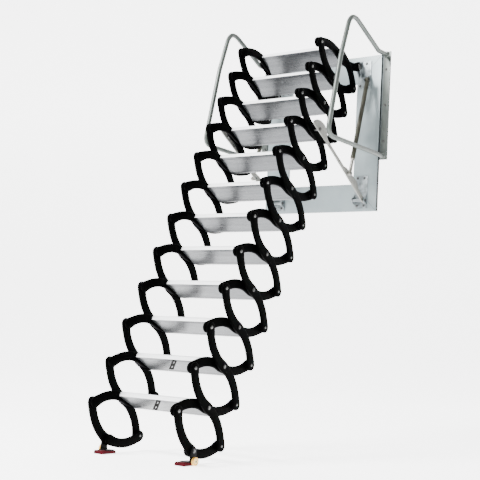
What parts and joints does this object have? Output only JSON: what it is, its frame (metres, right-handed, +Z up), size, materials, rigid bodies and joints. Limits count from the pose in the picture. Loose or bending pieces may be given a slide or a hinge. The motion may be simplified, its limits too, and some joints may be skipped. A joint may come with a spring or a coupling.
{
  "type": "attic ladder",
  "caption": "Wall-mounted scissor ladder for an attic hatch: metal treads on crossing arms, mounting frame, bracing legs with struts, side handrails and soft feet.",
  "frame": {"origin": "on the wall plane, in the middle of the frame's lower rear lip, where the part is held", "axes": "+Z up, +Y into the wall, +X to the climber's right when facing the wall; the ladder comes down towards -Y"},
  "size_m": [0.924, 1.62, 2.499],
  "materials": {
    "arm": "black semi-gloss cast",
    "tread": "satin, with black side arms",
    "frame": "pale blue-grey satin paint",
    "bracket": "pale blue-grey satin paint",
    "strut_tube": "dark olive satin",
    "strut_rod": "plain bright",
    "leg": "zinc satin",
    "rail": "pale grey-green satin",
    "shoe": "black",
    "pad": "dark red matte",
    "roller": "cream"
  },
  "bodies": {
    "frame": {"wall_frame": "frame", "bracket_top_left": "bracket", "bracket_top_right": "bracket", "bracket_bottom_left": "bracket", "bracket_bottom_right": "bracket", "handrail_left": "rail", "handrail_right": "rail", "step_12": "tread"},
    "outer_12": {"outer_arm_left_12": "arm", "outer_arm_right_12": "arm"},
    "inner_11": {"step_11": "tread"},
    "outer_11": {"outer_arm_left_11": "arm", "outer_arm_right_11": "arm"},
    "inner_10": {"step_10": "tread"},
    "outer_10": {"outer_arm_left_10": "arm", "outer_arm_right_10": "arm"},
    "inner_09": {"step_09": "tread"},
    "outer_09": {"outer_arm_left_09": "arm", "outer_arm_right_09": "arm"},
    "inner_08": {"step_08": "tread"},
    "outer_08": {"outer_arm_left_08": "arm", "outer_arm_right_08": "arm"},
    "inner_07": {"step_07": "tread"},
    "outer_07": {"outer_arm_left_07": "arm", "outer_arm_right_07": "arm"},
    "inner_06": {"step_06": "tread"},
    "outer_06": {"outer_arm_left_06": "arm", "outer_arm_right_06": "arm"},
    "inner_05": {"step_05": "tread"},
    "outer_05": {"outer_arm_left_05": "arm", "outer_arm_right_05": "arm"},
    "inner_04": {"step_04": "tread"},
    "outer_04": {"outer_arm_left_04": "arm", "outer_arm_right_04": "arm"},
    "inner_03": {"step_03": "tread"},
    "outer_03": {"outer_arm_left_03": "arm", "outer_arm_right_03": "arm"},
    "inner_02": {"step_02": "tread"},
    "outer_02": {"outer_arm_left_02": "arm", "outer_arm_right_02": "arm"},
    "inner_01": {"step_01": "tread"},
    "outer_01": {"outer_arm_left_01": "arm", "outer_arm_right_01": "arm"},
    "inner_00": {"lower_arm_left": "arm", "lower_arm_right": "arm"},
    "outer_00": {"outer_arm_left_00": "arm", "outer_arm_right_00": "arm"},
    "legs": {"support_leg_left": "leg", "support_leg_right": "leg"},
    "strut_cylinders": {"strut_cylinder_left": "strut_tube", "strut_cylinder_right": "strut_tube"},
    "strut_rods": {"strut_rod_left": "strut_rod", "strut_rod_right": "strut_rod"},
    "feet": {"foot_left": "shoe", "foot_right": "shoe", "foot_pad_left": "pad", "foot_pad_right": "pad"},
    "rollers": {"foot_roller_left": "roller", "foot_roller_right": "roller"}
  },
  "joints": [
    {"name": "fold", "type": "hinge", "parent": "frame", "child": "outer_12", "pos_m": [0, -0.28148, 0.89382], "axis": [1, 0, 0], "range_deg": [0, 17.42]},
    {"name": "rear_11", "type": "hinge", "parent": "outer_12", "child": "inner_11", "pos_m": [0, -0.1399, 0.71548], "axis": [1, 0, 0], "range_deg": [-18.62, 0]},
    {"name": "crossing_11", "type": "hinge", "parent": "inner_11", "child": "outer_11", "pos_m": [0, -0.36687, 0.73376], "axis": [1, 0, 0], "range_deg": [0, 18.62]},
    {"name": "rear_10", "type": "hinge", "parent": "outer_11", "child": "inner_10", "pos_m": [0, -0.2286, 0.55285], "axis": [1, 0, 0], "range_deg": [-18.62, 0]},
    {"name": "crossing_10", "type": "hinge", "parent": "inner_10", "child": "outer_10", "pos_m": [0, -0.45587, 0.56694], "axis": [1, 0, 0], "range_deg": [0, 18.62]},
    {"name": "rear_09", "type": "hinge", "parent": "outer_10", "child": "inner_09", "pos_m": [0, -0.3207, 0.3837], "axis": [1, 0, 0], "range_deg": [-18.62, 0]},
    {"name": "crossing_09", "type": "hinge", "parent": "inner_09", "child": "outer_09", "pos_m": [0, -0.54817, 0.39393], "axis": [1, 0, 0], "range_deg": [0, 18.62]},
    {"name": "rear_08", "type": "hinge", "parent": "outer_09", "child": "inner_08", "pos_m": [0, -0.41588, 0.2086], "axis": [1, 0, 0], "range_deg": [-18.62, 0]},
    {"name": "crossing_08", "type": "hinge", "parent": "inner_08", "child": "outer_08", "pos_m": [0, -0.64348, 0.21528], "axis": [1, 0, 0], "range_deg": [0, 18.62]},
    {"name": "rear_07", "type": "hinge", "parent": "outer_08", "child": "inner_07", "pos_m": [0, -0.51383, 0.0281], "axis": [1, 0, 0], "range_deg": [-18.62, 0]},
    {"name": "crossing_07", "type": "hinge", "parent": "inner_07", "child": "outer_07", "pos_m": [0, -0.7415, 0.03155], "axis": [1, 0, 0], "range_deg": [0, 18.62]},
    {"name": "rear_06", "type": "hinge", "parent": "outer_07", "child": "inner_06", "pos_m": [0, -0.61425, -0.15728], "axis": [1, 0, 0], "range_deg": [-18.62, 0]},
    {"name": "crossing_06", "type": "hinge", "parent": "inner_06", "child": "outer_06", "pos_m": [0, -0.84195, -0.15673], "axis": [1, 0, 0], "range_deg": [0, 18.62]},
    {"name": "rear_05", "type": "hinge", "parent": "outer_06", "child": "inner_05", "pos_m": [0, -0.71685, -0.34699], "axis": [1, 0, 0], "range_deg": [-18.62, 0]},
    {"name": "crossing_05", "type": "hinge", "parent": "inner_05", "child": "outer_05", "pos_m": [0, -0.94454, -0.34902], "axis": [1, 0, 0], "range_deg": [0, 18.62]},
    {"name": "rear_04", "type": "hinge", "parent": "outer_05", "child": "inner_04", "pos_m": [0, -0.82133, -0.54051], "axis": [1, 0, 0], "range_deg": [-18.62, 0]},
    {"name": "crossing_04", "type": "hinge", "parent": "inner_04", "child": "outer_04", "pos_m": [0, -1.04899, -0.54481], "axis": [1, 0, 0], "range_deg": [0, 18.62]},
    {"name": "rear_03", "type": "hinge", "parent": "outer_04", "child": "inner_03", "pos_m": [0, -0.92742, -0.73734], "axis": [1, 0, 0], "range_deg": [-18.62, 0]},
    {"name": "crossing_03", "type": "hinge", "parent": "inner_03", "child": "outer_03", "pos_m": [0, -1.15503, -0.74357], "axis": [1, 0, 0], "range_deg": [0, 18.62]},
    {"name": "rear_02", "type": "hinge", "parent": "outer_03", "child": "inner_02", "pos_m": [0, -1.03483, -0.93696], "axis": [1, 0, 0], "range_deg": [-18.62, 0]},
    {"name": "crossing_02", "type": "hinge", "parent": "inner_02", "child": "outer_02", "pos_m": [0, -1.26239, -0.94481], "axis": [1, 0, 0], "range_deg": [0, 18.62]},
    {"name": "rear_01", "type": "hinge", "parent": "outer_02", "child": "inner_01", "pos_m": [0, -1.14329, -1.13888], "axis": [1, 0, 0], "range_deg": [-18.62, 0]},
    {"name": "crossing_01", "type": "hinge", "parent": "inner_01", "child": "outer_01", "pos_m": [0, -1.3708, -1.14802], "axis": [1, 0, 0], "range_deg": [0, 18.62]},
    {"name": "rear_00", "type": "hinge", "parent": "outer_01", "child": "inner_00", "pos_m": [0, -1.25253, -1.34259], "axis": [1, 0, 0], "range_deg": [-18.62, 0]},
    {"name": "crossing_00", "type": "hinge", "parent": "inner_00", "child": "outer_00", "pos_m": [0, -1.48, -1.3527], "axis": [1, 0, 0], "range_deg": [0, 18.62]},
    {"name": "leg_swing", "type": "hinge", "parent": "frame", "child": "legs", "pos_m": [0, -0.045, 0.0537], "axis": [1, 0, 0], "range_deg": [-20.96, 0]},
    {"name": "strut_swing", "type": "hinge", "parent": "frame", "child": "strut_cylinders", "pos_m": [0, -0.0858, 0.7758], "axis": [1, 0, 0], "range_deg": [0, 4.44]},
    {"name": "strut_slide", "type": "slide", "parent": "strut_cylinders", "child": "strut_rods", "axis": [0, 0.2537, 0.9673], "range_m": [0, 0.0735]},
    {"name": "foot_swivel", "type": "hinge", "parent": "inner_00", "child": "feet", "pos_m": [0, -1.48, -1.3527], "axis": [1, 0, 0], "range_deg": [-15, 15]},
    {"name": "roller_spin", "type": "hinge", "parent": "feet", "child": "rollers", "pos_m": [0, -1.48, -1.4014], "axis": [1, 0, 0], "continuous": true}
  ],
  "couplings": [
    {"joint": "rear_11", "follows": "fold", "ratio": -1},
    {"joint": "crossing_11", "follows": "fold", "ratio": 1},
    {"joint": "rear_10", "follows": "fold", "ratio": -1},
    {"joint": "crossing_10", "follows": "fold", "ratio": 1},
    {"joint": "rear_09", "follows": "fold", "ratio": -1},
    {"joint": "crossing_09", "follows": "fold", "ratio": 1},
    {"joint": "rear_08", "follows": "fold", "ratio": -1},
    {"joint": "crossing_08", "follows": "fold", "ratio": 1},
    {"joint": "rear_07", "follows": "fold", "ratio": -1},
    {"joint": "crossing_07", "follows": "fold", "ratio": 1},
    {"joint": "rear_06", "follows": "fold", "ratio": -1},
    {"joint": "crossing_06", "follows": "fold", "ratio": 1},
    {"joint": "rear_05", "follows": "fold", "ratio": -1},
    {"joint": "crossing_05", "follows": "fold", "ratio": 1},
    {"joint": "rear_04", "follows": "fold", "ratio": -1},
    {"joint": "crossing_04", "follows": "fold", "ratio": 1},
    {"joint": "rear_03", "follows": "fold", "ratio": -1},
    {"joint": "crossing_03", "follows": "fold", "ratio": 1},
    {"joint": "rear_02", "follows": "fold", "ratio": -1},
    {"joint": "crossing_02", "follows": "fold", "ratio": 1},
    {"joint": "rear_01", "follows": "fold", "ratio": -1},
    {"joint": "crossing_01", "follows": "fold", "ratio": 1},
    {"joint": "rear_00", "follows": "fold", "ratio": -1},
    {"joint": "crossing_00", "follows": "fold", "ratio": 1},
    {"joint": "leg_swing", "follows": "fold", "ratio": -1.1257},
    {"joint": "strut_swing", "follows": "fold", "ratio": 0.23838},
    {"joint": "strut_slide", "follows": "fold", "m_per_rad": 0.22615}
  ]
}
